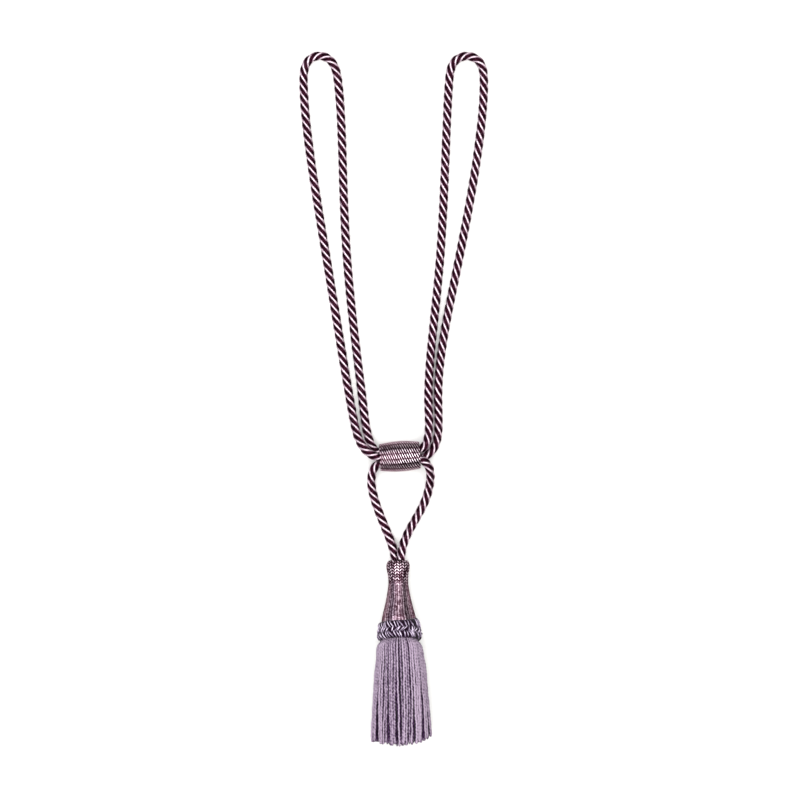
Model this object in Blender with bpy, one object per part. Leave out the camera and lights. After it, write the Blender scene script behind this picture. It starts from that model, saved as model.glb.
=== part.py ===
"""Curtain tieback tassel, lying flat: one twisted rope in two long loops, a wound sleeve and a tassel.

Sizes are in millimetres and are turned to metres where a mesh is made. The surface is z = 0, the loops
run towards +Y and the tassel's fringe towards -Y. The origin is under the middle of sleeve and tassel.
"""

import math
import random

import bmesh
import bpy
import numpy as np
from mathutils import Euler, Matrix, Vector

MM = 0.001
GAP = 0.3

# rope: four strands laid up left-handed
ROPE_RADIUS = 3.75
ROPE_GROOVE_RADIUS = 2.85
ROPE_LAY = 30.8
ROPE_STRANDS = 4
ROPE_RINGS_PER_LAY = 9
ROPE_REST = 3.6

# sleeve: a hollow barrel that the rope passes three times
SLEEVE_CENTRE = (-1.3, 113.9)
SLEEVE_TURN = 3.8
SLEEVE_LENGTH = 34.0
SLEEVE_END_RADIUS = 10.75
SLEEVE_WAIST_RADIUS = 12.45
SLEEVE_BORE_RADIUS = 9.55
SLEEVE_EDGE_ROUND = 0.7
SLEEVE_FLAT = 0.45
SLEEVE_SIDES = 32

# tassel: its head's top, its lean in plan and the nod that lets shoulder and ruff both touch
TASSEL_TOP = (-2.9, 27.0)
TASSEL_LEAN = 1.0
SOCKET_RADIUS = 8.2
SOCKET_DEPTH = 5.0
HEAD_SIDES = 28
HEAD_BASE = 58.0
BASE_RADIUS = 14.4
SHOULDER = {"down": 5.0, "radius": 9.65}

RUFF_TOP = 51.0
RUFF_BOTTOM = 66.4
RUFF_WIDEST = {"down": 62.0, "radius": 18.6}
RUFF_STITCHES = 28
RUFF_ROWS = 3
RUFF_STITCH_HEIGHT = 0.9
RUFF_STITCH_LEAN = 0.9
RUFF_SAMPLES_PER_STITCH = 3
RUFF_INNER_RADIUS = 16.1
FLOOR_FLAT = 0.2

HEADING_TOP = HEAD_BASE + GAP
HEADING_BOTTOM = 66.2
HEADING_RADIUS = RUFF_INNER_RADIUS - GAP
STRAND_ROOT_SIZE = 1.25
STRAND_SIZE = 1.7
STRAND_CORNER_REACH = 0.7

# route of the rope's centreline, from one end in the head's socket to the other
ROUTE = [
    # lower left strand, up from the head
    (-5.0, 23.3, 6.05),
    (-6.2, 34.0, 4.4),
    (-14.0, 56.0, 3.6),
    (-22.5, 79.0, 3.9),
    (-24.8, 96.0, 6.6),
    (-20.2, 106.8, 9.3),
    # first pass through the sleeve
    (-1.0, 109.9, 9.2),
    (18.0, 113.0, 7.9),
    # right loop, up its outer leg and down its inner leg
    (27.4, 122.0, 5.4),
    (30.4, 163.0, 3.6),
    (46.8, 273.0, 3.6),
    (68.4, 423.0, 3.6),
    (64.3, 441.6, 3.6),
    (54.3, 446.0, 3.6),
    (44.3, 441.6, 3.6),
    (39.4, 423.0, 3.6),
    (31.6, 273.0, 3.6),
    (22.4, 160.0, 7.6),
    (22.2, 131.0, 10.6),
    # second pass
    (17.6, 121.0, 12.0),
    (-1.6, 118.6, 10.6),
    (-20.6, 118.0, 9.0),
    # left loop, up its inner leg and down its outer leg
    (-27.0, 128.0, 5.6),
    (-31.6, 155.0, 3.6),
    (-46.0, 290.0, 3.6),
    (-52.4, 423.0, 3.6),
    (-58.4, 441.8, 3.6),
    (-68.0, 446.2, 3.6),
    (-77.4, 441.8, 3.6),
    (-81.2, 423.0, 3.6),
    (-62.0, 277.0, 3.6),
    (-40.4, 148.0, 5.4),
    (-31.4, 121.0, 13.6),
    # third pass
    (-17.5, 112.6, 16.7),
    (14.5, 112.0, 16.5),
    # lower right strand, down to the head
    (22.6, 105.5, 14.2),
    (23.4, 90.0, 7.4),
    (17.6, 72.5, 4.8),
    (1.9, 42.0, 9.3),
    (-0.75, 23.3, 12.45),
]

# turned outline of the head, from the rim down
HEAD_OUTLINE = [
    # (down, radius)
    (0.0, 8.6),
    (0.8, 9.1),
    (2.4, 9.5),
    (5.0, 9.65),
    (7.0, 9.4),
    (9.5, 8.9),
    (12.5, 8.4),
    (16.0, 8.2),
    (20.0, 8.3),
    (24.0, 8.85),
    (29.0, 9.85),
    (35.0, 11.45),
    (41.0, 13.0),
    (46.0, 14.05),
    (49.0, BASE_RADIUS),
]

# outer face of the ruff before its braid is raised
RUFF_OUTLINE = [
    # (down, radius)
    (RUFF_TOP, 15.7),
    (51.6, 16.3),
    (53.0, 17.0),
    (55.2, 17.7),
    (57.6, 18.2),
    (60.2, 18.5),
    (63.0, 18.6),
    (65.2, 18.4),
    (RUFF_BOTTOM, 17.7),
]

# where the outer strands leave the heading and turn out under the ruff, square to the tassel
FRINGE_ROOTS = [
    # (down, radius)
    (HEADING_BOTTOM - 3.0, HEADING_RADIUS - STRAND_ROOT_SIZE),
    (HEADING_BOTTOM + 0.4, HEADING_RADIUS - STRAND_ROOT_SIZE),
    (HEADING_BOTTOM + 3.8, 17.8),
]

# the lying fringe: half width and top height of its outer strands' middles, down its length in plan
FRINGE_SHAPE = [
    # (down, half width, top height)
    (78.0, 20.1, 37.6),
    (112.0, 22.3, 35.6),
    (154.0, 24.3, 30.6),
]

# rings of strands from the outside in
FRINGE_RINGS = [
    # (share of the width, strands, sides)
    (1.0, 60, 4),
    (0.76, 32, 3),
    (0.5, 18, 3),
]

# length of the fringe in plan, from the head's top, across its width
FRINGE_ENDS = [
    # (sideways, down)
    (-25.0, 148.8),
    (-14.0, 151.5),
    (0.0, 153.2),
    (14.0, 150.6),
    (25.0, 146.2),
]
FRINGE_END_JITTER = 1.1
INNER_STRANDS_SHORTER = 3.0
FLOOR_STRANDS_SHORTER = 4.0
FLOOR_STRANDS_BELOW = 8.0
FRINGE_WIDEST_AT = 0.45
FRINGE_FLATTENING = 0.72

COLOURS = {
    # (red, green, blue), roughness
    "rope": ((0.105, 0.034, 0.062), 0.42),
    "sleeve": ((0.30, 0.20, 0.24), 0.5),
    "head": ((0.27, 0.19, 0.23), 0.5),
    "ruff": ((0.28, 0.20, 0.29), 0.6),
    "skirt": ((0.36, 0.28, 0.38), 0.6),
}


def clearScene():
    for thing in list(bpy.data.objects):
        bpy.data.objects.remove(thing, do_unlink=True)


def finish(name):
    colour, roughness = COLOURS[name]
    material = bpy.data.materials.new(name)
    material.use_nodes = True
    shader = material.node_tree.nodes["Principled BSDF"]
    shader.inputs["Base Color"].default_value = (*colour, 1.0)
    shader.inputs["Roughness"].default_value = roughness
    shader.inputs["Metallic"].default_value = 0.0
    return material


def place(name, mesh, parent=None):
    piece = bpy.data.objects.new(name, mesh)
    bpy.context.scene.collection.objects.link(piece)
    piece.parent = parent
    mesh.materials.append(finish(name))
    return piece


def meshOf(name, shape, smooth=True):
    bmesh.ops.recalc_face_normals(shape, faces=shape.faces)
    mesh = bpy.data.meshes.new(name)
    shape.to_mesh(mesh)
    shape.free()
    if smooth:
        mesh.shade_smooth()
        mesh.set_sharp_from_angle(angle=math.radians(40))
    return mesh


def bridge(shape, rings, closed=False):
    """Joins rings of vertices of equal count with quads."""
    pairs = list(zip(rings, rings[1:]))
    if closed:
        pairs.append((rings[-1], rings[0]))
    for lower, upper in pairs:
        count = len(lower)
        for i in range(count):
            j = (i + 1) % count
            shape.faces.new((lower[i], lower[j], upper[j], upper[i]))


def readTable(table, at, column=1):
    return float(np.interp(at, [row[0] for row in table], [row[column] for row in table]))


# ---- rope


def smoothCurve(points, samples=60):
    """Points along the natural cubic spline through the given ones."""
    knots = np.array(points)
    spans = np.linalg.norm(np.diff(knots, axis=0), axis=1) ** 0.75
    count = len(knots)
    system = np.zeros((count, count))
    target = np.zeros((count, 3))
    system[0, 0] = 1.0
    system[-1, -1] = 1.0
    slopes = np.diff(knots, axis=0) / spans[:, None]
    for i in range(1, count - 1):
        system[i, i - 1] = spans[i - 1]
        system[i, i] = 2.0 * (spans[i - 1] + spans[i])
        system[i, i + 1] = spans[i]
        target[i] = 6.0 * (slopes[i] - slopes[i - 1])
    bend = np.linalg.solve(system, target)
    pieces = []
    for i, span in enumerate(spans):
        ahead = np.linspace(0.0, span, samples, endpoint=False)[:, None]
        left = span - ahead
        pieces.append(
            (bend[i] * left**3 + bend[i + 1] * ahead**3) / (6.0 * span)
            + (knots[i] / span - bend[i] * span / 6.0) * left
            + (knots[i + 1] / span - bend[i + 1] * span / 6.0) * ahead
        )
    return np.vstack(pieces + [knots[-1:]])


def evenly(line, step):
    """The line's points at equal steps of about the given length."""
    along = np.concatenate([[0.0], np.cumsum(np.linalg.norm(np.diff(line, axis=0), axis=1))])
    count = round(along[-1] / step)
    wanted = np.linspace(0.0, along[-1], count + 1)
    return np.stack([np.interp(wanted, along, line[:, axis]) for axis in range(3)], axis=1)


def ropeMesh():
    line = smoothCurve(ROUTE)
    line[:, 2] = np.maximum(line[:, 2], ROPE_REST)
    centres = [Vector(p) for p in evenly(line, ROPE_LAY / ROPE_RINGS_PER_LAY)]
    corners = 2 * ROPE_STRANDS
    turn = -2.0 * math.pi / ROPE_RINGS_PER_LAY
    side = Vector((0.0, 0.0, 1.0))
    shape = bmesh.new()
    rings = []
    for i, centre in enumerate(centres):
        before = centres[max(i - 1, 0)]
        after = centres[min(i + 1, len(centres) - 1)]
        along = (after - before).normalized()
        side = (side - along * side.dot(along)).normalized()
        other = along.cross(side)
        ring = []
        for corner in range(corners):
            angle = turn * i + 2.0 * math.pi * corner / corners
            radius = ROPE_RADIUS if corner % 2 == 0 else ROPE_GROOVE_RADIUS
            point = centre + (side * math.cos(angle) + other * math.sin(angle)) * radius
            point.z = max(point.z, 0.0)
            ring.append(shape.verts.new(point * MM))
        rings.append(ring)
    bridge(shape, rings)
    shape.faces.new(rings[0])
    shape.faces.new(rings[-1])
    return meshOf("rope", shape)


# ---- turned pieces


def turned(outline, sides, relief=None, closed=False):
    """A solid of revolution about local Z. The outline is (down, radius), and a zero radius closes it.

    With closed, the outline's last point joins its first, as on a ring. Relief adds to a radius.
    """
    shape = bmesh.new()
    rings = []
    tips = []
    for row, (down, radius) in enumerate(outline):
        if radius == 0.0:
            tips.append(shape.verts.new((0.0, 0.0, -down * MM)))
            continue
        ring = []
        for i in range(sides):
            angle = 2.0 * math.pi * i / sides
            reach = radius + (relief(row, down, i / sides) if relief else 0.0)
            ring.append(
                shape.verts.new((reach * math.cos(angle) * MM, reach * math.sin(angle) * MM, -down * MM))
            )
        rings.append(ring)
    bridge(shape, rings, closed)
    for tip, ring in zip(tips, (rings[0], rings[-1])):
        for i in range(sides):
            shape.faces.new((tip, ring[i], ring[(i + 1) % sides]))
    return shape


def restOnFloor(shape, matrix):
    """Flattens what the placed piece would push under the floor."""
    back = matrix.inverted()
    for vert in shape.verts:
        point = matrix @ vert.co
        point.z = max(point.z, 0.0)
        vert.co = back @ point


def sleeve():
    half = SLEEVE_LENGTH / 2.0
    steps = 10
    outer = []
    for i in range(steps + 1):
        at = -half + SLEEVE_EDGE_ROUND + (SLEEVE_LENGTH - 2.0 * SLEEVE_EDGE_ROUND) * i / steps
        swell = 1.0 - (at / half) ** 2
        outer.append((at, SLEEVE_END_RADIUS + (SLEEVE_WAIST_RADIUS - SLEEVE_END_RADIUS) * swell))
    rim = SLEEVE_END_RADIUS - SLEEVE_EDGE_ROUND
    mouth = SLEEVE_BORE_RADIUS
    outline = [(-half, rim)] + outer + [(half, rim), (half - 0.4, mouth), (-half + 0.4, mouth)]
    shape = turned(outline, SLEEVE_SIDES, closed=True)
    bore = Euler((0.0, math.radians(90.0), math.radians(SLEEVE_TURN)))
    spot = Vector((*SLEEVE_CENTRE, SLEEVE_WAIST_RADIUS - SLEEVE_FLAT)) * MM
    restOnFloor(shape, Matrix.LocRotScale(spot, bore, None))
    piece = place("sleeve", meshOf("sleeve", shape))
    piece.location = spot
    piece.rotation_euler = bore


# ---- tassel


def tasselNod():
    """The nod, in radians, at which the shoulder and the ruff both touch the floor."""
    rise = RUFF_WIDEST["radius"] - SHOULDER["radius"]
    return math.atan2(rise, RUFF_WIDEST["down"] - SHOULDER["down"])


def tasselEmpty():
    nod = tasselNod()
    height = SHOULDER["radius"] * math.cos(nod) - SHOULDER["down"] * math.sin(nod) - FLOOR_FLAT
    empty = bpy.data.objects.new("tassel", None)
    bpy.context.scene.collection.objects.link(empty)
    empty.location = Vector((*TASSEL_TOP, height)) * MM
    empty.rotation_euler = (-(math.pi / 2.0 + nod), 0.0, math.radians(TASSEL_LEAN))
    bpy.context.view_layer.update()
    return empty


def head(tassel):
    socket = [(SOCKET_DEPTH, 0.0), (SOCKET_DEPTH, SOCKET_RADIUS), (0.3, SOCKET_RADIUS)]
    foot = [(HEAD_BASE, BASE_RADIUS), (HEAD_BASE, 0.0)]
    shape = turned(socket + HEAD_OUTLINE + foot, HEAD_SIDES)
    restOnFloor(shape, tassel.matrix_world)
    place("head", meshOf("head", shape), tassel)


def braidHeight(row, down, around):
    """Height of the ruff's plaited stitches, which lean one way in a row and the other in the next."""
    if row >= len(RUFF_OUTLINE):
        return 0.0
    across = (down - RUFF_TOP) / (RUFF_BOTTOM - RUFF_TOP) * RUFF_ROWS
    inRow = across % 1.0
    lean = 1.0 if int(across) % 2 == 0 else -1.0
    phase = around * RUFF_STITCHES + lean * RUFF_STITCH_LEAN * (inRow - 0.5)
    crest = 0.5 + 0.5 * math.cos(2.0 * math.pi * phase)
    return RUFF_STITCH_HEIGHT * (crest - 0.5)


def ruff(tassel):
    lip = BASE_RADIUS + GAP
    inside = [
        (RUFF_BOTTOM, RUFF_INNER_RADIUS),
        (RUFF_TOP + 3.6, RUFF_INNER_RADIUS),
        (RUFF_TOP + 2.6, lip),
        (RUFF_TOP + 0.6, lip),
    ]
    sides = RUFF_STITCHES * RUFF_SAMPLES_PER_STITCH
    shape = turned(RUFF_OUTLINE + inside, sides, braidHeight, closed=True)
    restOnFloor(shape, tassel.matrix_world)
    place("ruff", meshOf("ruff", shape), tassel)


def fringeOutline(down, share, count, turnBy):
    """Evenly spaced places along one ring's outline: sideways, height and the way each strand faces."""
    halfWidth = readTable(FRINGE_SHAPE, down, 1)
    top = readTable(FRINGE_SHAPE, down, 2)
    middle = FRINGE_WIDEST_AT * top
    lowest = STRAND_SIZE / 2.0
    angles = np.linspace(0.0, 2.0 * math.pi, 361) + turnBy
    sideways = halfWidth * np.sin(angles)
    rise = np.cos(angles)
    upper = middle + (top - middle) * rise
    lower = middle - (middle - lowest) * np.abs(rise) ** FRINGE_FLATTENING
    height = np.where(rise > 0.0, upper, lower)
    sideways = sideways * share
    height = middle + (height - middle) * share
    along = np.concatenate([[0.0], np.cumsum(np.hypot(np.diff(sideways), np.diff(height)))])
    facing = np.unwrap(np.arctan2(-np.gradient(height), np.gradient(sideways)))
    wanted = np.linspace(0.0, along[-1], count, endpoint=False)
    return [np.interp(wanted, along, values) for values in (sideways, height, facing)]


def strand(shape, path, sizes, facings, sides):
    """A thin bar along the path, one side of it facing out of the fringe."""
    rings = []
    for point, size, facing in zip(path, sizes, facings):
        ring = []
        for i in range(sides):
            angle = facing + 2.0 * math.pi * (i + 0.5) / sides
            reach = size * STRAND_CORNER_REACH
            offset = Vector((reach * math.sin(angle), 0.0, reach * math.cos(angle)))
            ring.append(shape.verts.new((point + offset) * MM))
        rings.append(ring)
    bridge(shape, rings)
    shape.faces.new(rings[0])
    shape.faces.new(rings[-1])


def fringeMesh(tassel):
    """All strands, in the surface's frame, each rooted inside the heading."""
    draw = random.Random(7)
    lean = math.radians(TASSEL_LEAN)
    ahead = Vector((math.sin(lean), -math.cos(lean), 0.0))
    aside = Vector((math.cos(lean), math.sin(lean), 0.0))
    top = Vector((*TASSEL_TOP, 0.0))
    shape = bmesh.new()
    for ringNumber, (share, count, sides) in enumerate(FRINGE_RINGS):
        turnBy = 0.35 * ringNumber
        outlines = [fringeOutline(row[0], share, count, turnBy) for row in FRINGE_SHAPE]
        for i in range(count):
            angle = 2.0 * math.pi * i / count + turnBy
            path = []
            sizes = []
            facings = []
            for down, radius in FRINGE_ROOTS:
                reach = radius * share
                local = Vector((reach * math.sin(angle), -reach * math.cos(angle), -down)) * MM
                path.append((tassel.matrix_world @ local) / MM)
                facings.append(angle)
                sizes.append(STRAND_ROOT_SIZE)
            sizes[-1] = STRAND_SIZE
            for (down, _, _), outline in zip(FRINGE_SHAPE, outlines):
                sideways, height, facing = (float(values[i]) for values in outline)
                if down == FRINGE_SHAPE[-1][0]:
                    floorShare = 1.0 - min(height / FLOOR_STRANDS_BELOW, 1.0)
                    down = readTable(FRINGE_ENDS, sideways)
                    down -= FLOOR_STRANDS_SHORTER * floorShare
                    down -= INNER_STRANDS_SHORTER * (1.0 - share)
                    down += draw.uniform(-FRINGE_END_JITTER, FRINGE_END_JITTER)
                spot = top + ahead * down + aside * sideways
                spot.z = height
                path.append(spot)
                facings.append(facing)
                sizes.append(STRAND_SIZE)
            strand(shape, path, sizes, facings, sides)
    return shape


def skirt(tassel):
    """The fringe rolled up round its heading, which fills the ruff."""
    disc = turned(
        [
            (HEADING_TOP, 0.0),
            (HEADING_TOP, HEADING_RADIUS),
            (HEADING_BOTTOM, HEADING_RADIUS),
            (HEADING_BOTTOM, 0.0),
        ],
        HEAD_SIDES,
    )
    body = place("skirt", meshOf("skirt", disc, smooth=False), tassel)
    strands = bpy.data.objects.new("strands_to_join", meshOf("strands", fringeMesh(tassel), smooth=False))
    bpy.context.scene.collection.objects.link(strands)
    strands.hide_render = True
    strands.display_type = "WIRE"
    join = body.modifiers.new("strands", "BOOLEAN")
    join.operation = "UNION"
    join.object = strands
    join.solver = "EXACT"


def main():
    clearScene()
    place("rope", ropeMesh())
    sleeve()
    tassel = tasselEmpty()
    head(tassel)
    ruff(tassel)
    skirt(tassel)


main()
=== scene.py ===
import math
import random

import bpy
import numpy as np
from mathutils import Euler, Matrix, Vector


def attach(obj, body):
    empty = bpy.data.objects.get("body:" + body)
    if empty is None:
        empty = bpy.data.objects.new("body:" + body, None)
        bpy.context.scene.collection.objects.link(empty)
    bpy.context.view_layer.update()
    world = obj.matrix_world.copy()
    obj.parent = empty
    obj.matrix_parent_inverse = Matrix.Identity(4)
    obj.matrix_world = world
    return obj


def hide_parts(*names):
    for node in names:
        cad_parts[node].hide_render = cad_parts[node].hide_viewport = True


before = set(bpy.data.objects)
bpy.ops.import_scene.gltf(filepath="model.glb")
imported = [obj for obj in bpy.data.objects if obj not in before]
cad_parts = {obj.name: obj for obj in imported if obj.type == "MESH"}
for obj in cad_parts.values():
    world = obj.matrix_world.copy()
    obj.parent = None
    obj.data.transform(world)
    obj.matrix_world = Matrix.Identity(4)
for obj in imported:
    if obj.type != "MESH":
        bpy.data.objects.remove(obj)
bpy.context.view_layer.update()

# lengths below are in millimetres; the loops run towards +Y, the fringe towards -Y, and z = 0 is the table
mm = 0.001
lowest = 0.03  # no surface of the tieback comes nearer to the table than this


def linear(hexColour):
    parts = [int(hexColour[i : i + 2], 16) / 255.0 for i in (1, 3, 5)]
    return tuple(c / 12.92 if c <= 0.04045 else ((c + 0.055) / 1.055) ** 2.4 for c in parts) + (1.0,)


def addNode(tree, kind, settings=None, links=None):
    node = tree.nodes.new(kind)
    for key, value in (settings or {}).items():
        if isinstance(key, str) and hasattr(node, key):
            setattr(node, key, value)
        else:
            node.inputs[key].default_value = value
    for key, source in (links or {}).items():
        tree.links.new(source, node.inputs[key])
    return node


def newMaterial(name, values):
    material = bpy.data.materials.new(name)
    material.use_nodes = True
    tree = material.node_tree
    shader = tree.nodes["Principled BSDF"]
    for key, value in values.items():
        shader.inputs[key].default_value = value
    return material, tree, shader


# a skin gathers the tubes that make up one piece
def newSkin():
    return {"points": [], "faces": [], "corners": [], "tones": [], "count": 0}


# rings holds a row of points for each ring, and tones how dark or pale they are, from 0 to 1;
# around and along are the yarn coordinates of its columns and rings, with one more where it closes
def addTube(skin, rings, tones, around, along, caps=True, closed=False):
    rows, sides = rings.shape[:2]
    index = skin["count"] + np.arange(rows * sides).reshape(rows, sides)
    last = rows if closed else rows - 1
    nextRow = np.roll(index, -1, axis=0)
    quads = np.stack([index, np.roll(index, -1, axis=1), np.roll(nextRow, -1, axis=1), nextRow], axis=-1)
    near = np.broadcast_to(np.asarray(around[:-1]), (last, sides))
    far = np.broadcast_to(np.asarray(around[1:]), (last, sides))
    low = np.broadcast_to(np.asarray(along[:last])[:, None], (last, sides))
    high = np.broadcast_to(np.asarray(along[1 : last + 1])[:, None], (last, sides))
    corners = np.stack([near, low, far, low, far, high, near, high], axis=-1).reshape(-1, 2)
    skin["points"].append(rings.reshape(-1, 3))
    skin["faces"] += quads[:last].reshape(-1, 4).tolist()
    skin["corners"].append(corners)
    skin["tones"].append(np.broadcast_to(tones, (rows, sides)).reshape(-1))
    skin["count"] += rows * sides
    if caps:
        for row, ring in ((0, index[0][::-1]), (-1, index[-1])):
            skin["faces"].append(ring.tolist())
            skin["corners"].append(np.tile([[0.5, along[row]]], (sides, 1)))


def makePiece(name, skin, material, node):
    points = np.concatenate(skin["points"])
    corners = np.concatenate(skin["corners"])
    faces = skin["faces"]
    first = np.array([face[:3] for face in faces])
    a, b, c = (points[first[:, k]] for k in range(3))
    if np.einsum("ij,ij->i", a, np.cross(b, c)).sum() < 0.0:  # inside out, so every face is turned round
        sizes = np.array([len(face) for face in faces])
        ends = np.cumsum(sizes)
        order = np.concatenate([np.arange(end - 1, end - size - 1, -1) for end, size in zip(ends, sizes)])
        corners = corners[order]
        faces = [face[::-1] for face in faces]
    mesh = bpy.data.meshes.new(name)
    mesh.from_pydata((points * mm).tolist(), [], faces)
    yarn = mesh.uv_layers.new(name="yarn")
    yarn.data.foreach_set("uv", corners.astype(np.float32).ravel())
    tone = mesh.attributes.new("tone", "FLOAT", "POINT")
    tone.data.foreach_set("value", np.concatenate(skin["tones"]).astype(np.float32))
    mesh.shade_smooth()
    mesh.materials.append(material)
    piece = bpy.data.objects.new(name, mesh)
    bpy.context.scene.collection.objects.link(piece)
    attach(piece, "root")
    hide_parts(node)
    print(name, len(faces), "faces")
    return piece


# natural cubic spline through the points; a power below 1 keeps its bends close to their points
def smoothCurve(points, samples=60, power=0.75):
    knots = np.array(points)
    spans = np.linalg.norm(np.diff(knots, axis=0), axis=1) ** power
    count = len(knots)
    system = np.zeros((count, count))
    target = np.zeros((count, 3))
    system[0, 0] = 1.0
    system[-1, -1] = 1.0
    slopes = np.diff(knots, axis=0) / spans[:, None]
    for i in range(1, count - 1):
        system[i, i - 1] = spans[i - 1]
        system[i, i] = 2.0 * (spans[i - 1] + spans[i])
        system[i, i + 1] = spans[i]
        target[i] = 6.0 * (slopes[i] - slopes[i - 1])
    bend = np.linalg.solve(system, target)
    pieces = []
    for i, span in enumerate(spans):
        ahead = np.linspace(0.0, span, samples, endpoint=False)[:, None]
        left = span - ahead
        pieces.append(
            (bend[i] * left**3 + bend[i + 1] * ahead**3) / (6.0 * span)
            + (knots[i] / span - bend[i] * span / 6.0) * left
            + (knots[i + 1] / span - bend[i + 1] * span / 6.0) * ahead
        )
    return np.vstack(pieces + [knots[-1:]])


def lengthsAlong(line):
    return np.concatenate([[0.0], np.cumsum(np.linalg.norm(np.diff(line, axis=0), axis=1))])


def evenly(line, count):
    along = lengthsAlong(line)
    wanted = np.linspace(0.0, along[-1], count + 1)
    return np.stack([np.interp(wanted, along, line[:, axis]) for axis in range(3)], axis=1)


# soft waves with no repeat, for hand-made unevenness; same every run
def drift(values, seed, *lengths, waves=3):
    draw = random.Random(seed)
    total = np.zeros_like(values)
    for length in lengths:
        for _ in range(waves):
            turn = draw.uniform(0.0, 2.0 * math.pi)
            stretch = length * draw.uniform(0.7, 1.4)
            total = total + np.sin(2.0 * math.pi * values / stretch + turn)
    return total / (waves * len(lengths))


# studio: camera straight above, one broad soft light and a weak one from the upper left, pale table
studio = {
    "viewWidth": 664.0,  # that the camera sees on the table
    "middle": (-1.2, 160.6),
    "lens": 900.0,  # long, so that height hardly shifts the tassel's outline
    "sensor": 36.0,
    "sight": 100.0,  # metres; the camera sees no farther
    # direction that the light comes from, strength, spread in degrees, colour
    "panel": ((0.0, -0.05, 1.0), 8.4, 104.0, "#ffffff"),
    "fill": ((-1.0, 0.4, 0.5), 0.9, 70.0, "#eceeff"),
    "room": "#dfe0e6",
    "roomStrength": 0.25,
    "table": "#c8c7c5",
    "tableReach": 30.0,  # metres, so that its edges are never seen
    "grain": 1.111,  # the paint's tooth is finer, about 0.2 mm; drawn coarser so that it shows
    "grainDepth": 0.1,
}


def addLight(name, direction, strength, spread, colour):
    light = bpy.data.lights.new(name, "SUN")
    light.energy = strength
    light.angle = math.radians(spread)
    light.color = linear(colour)[:3]
    lamp = bpy.data.objects.new(name, light)
    lamp.rotation_mode = "QUATERNION"
    lamp.rotation_quaternion = Vector(direction).to_track_quat("Z", "Y")
    bpy.context.scene.collection.objects.link(lamp)


# matt painted board: plain and pale, with a faint tooth
def makeTable():
    values = {"Base Color": linear(studio["table"]), "Roughness": 0.85, "IOR": 1.45}
    board, tree, shader = newMaterial("mattPaintedBoard", values)
    place = addNode(tree, "ShaderNodeNewGeometry")
    grain = addNode(
        tree,
        "ShaderNodeTexNoise",
        {"Scale": 1.0 / (studio["grain"] * mm), "Detail": 2.0},
        {"Vector": place.outputs["Position"]},
    )
    tooth = addNode(
        tree,
        "ShaderNodeBump",
        {"Strength": 0.05, "Distance": studio["grainDepth"] * mm},
        {"Height": grain.outputs["Fac"]},
    )
    tree.links.new(tooth.outputs["Normal"], shader.inputs["Normal"])
    reach = studio["tableReach"]
    corners = [(-reach, -reach, 0.0), (reach, -reach, 0.0), (reach, reach, 0.0), (-reach, reach, 0.0)]
    mesh = bpy.data.meshes.new("table")
    mesh.from_pydata(corners, [], [(0, 1, 2, 3)])
    mesh.materials.append(board)
    table = bpy.data.objects.new("table", mesh)
    bpy.context.scene.collection.objects.link(table)


def makeStudio():
    scene = bpy.context.scene
    scene.view_settings.view_transform = "Standard"
    lens = bpy.data.cameras.new("camera")
    lens.lens = studio["lens"]
    lens.sensor_width = studio["sensor"]
    lens.clip_end = studio["sight"]
    camera = bpy.data.objects.new("camera", lens)
    height = studio["viewWidth"] * studio["lens"] / studio["sensor"]
    camera.location = Vector((*studio["middle"], height)) * mm
    scene.collection.objects.link(camera)
    scene.camera = camera

    addLight("panel", *studio["panel"])
    addLight("fill", *studio["fill"])
    world = bpy.data.worlds.new("room")
    world.use_nodes = True
    glow = world.node_tree.nodes["Background"]
    glow.inputs["Color"].default_value = linear(studio["room"])
    glow.inputs["Strength"].default_value = studio["roomStrength"]
    scene.world = world
    makeTable()
    print("studio ready")


makeStudio()

# shared by every yarn: colour from dark to pale by tone, lustre that rises with tone, mottling and fuzz
yarnFinish = {
    "mottle": 2.381,  # width of the patches that took more or less dye
    "noiseRange": (0.3, 0.7),  # of the mottling's noise, spread over the patchiness
    "fuzz": 0.667,  # single fibres are finer than 0.1 mm; drawn as tufts that are coarse enough to show
    "fuzzDepth": 0.2,
    "fuzzStrength": 0.25,
    "threadDepth": 0.1,
}


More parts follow.
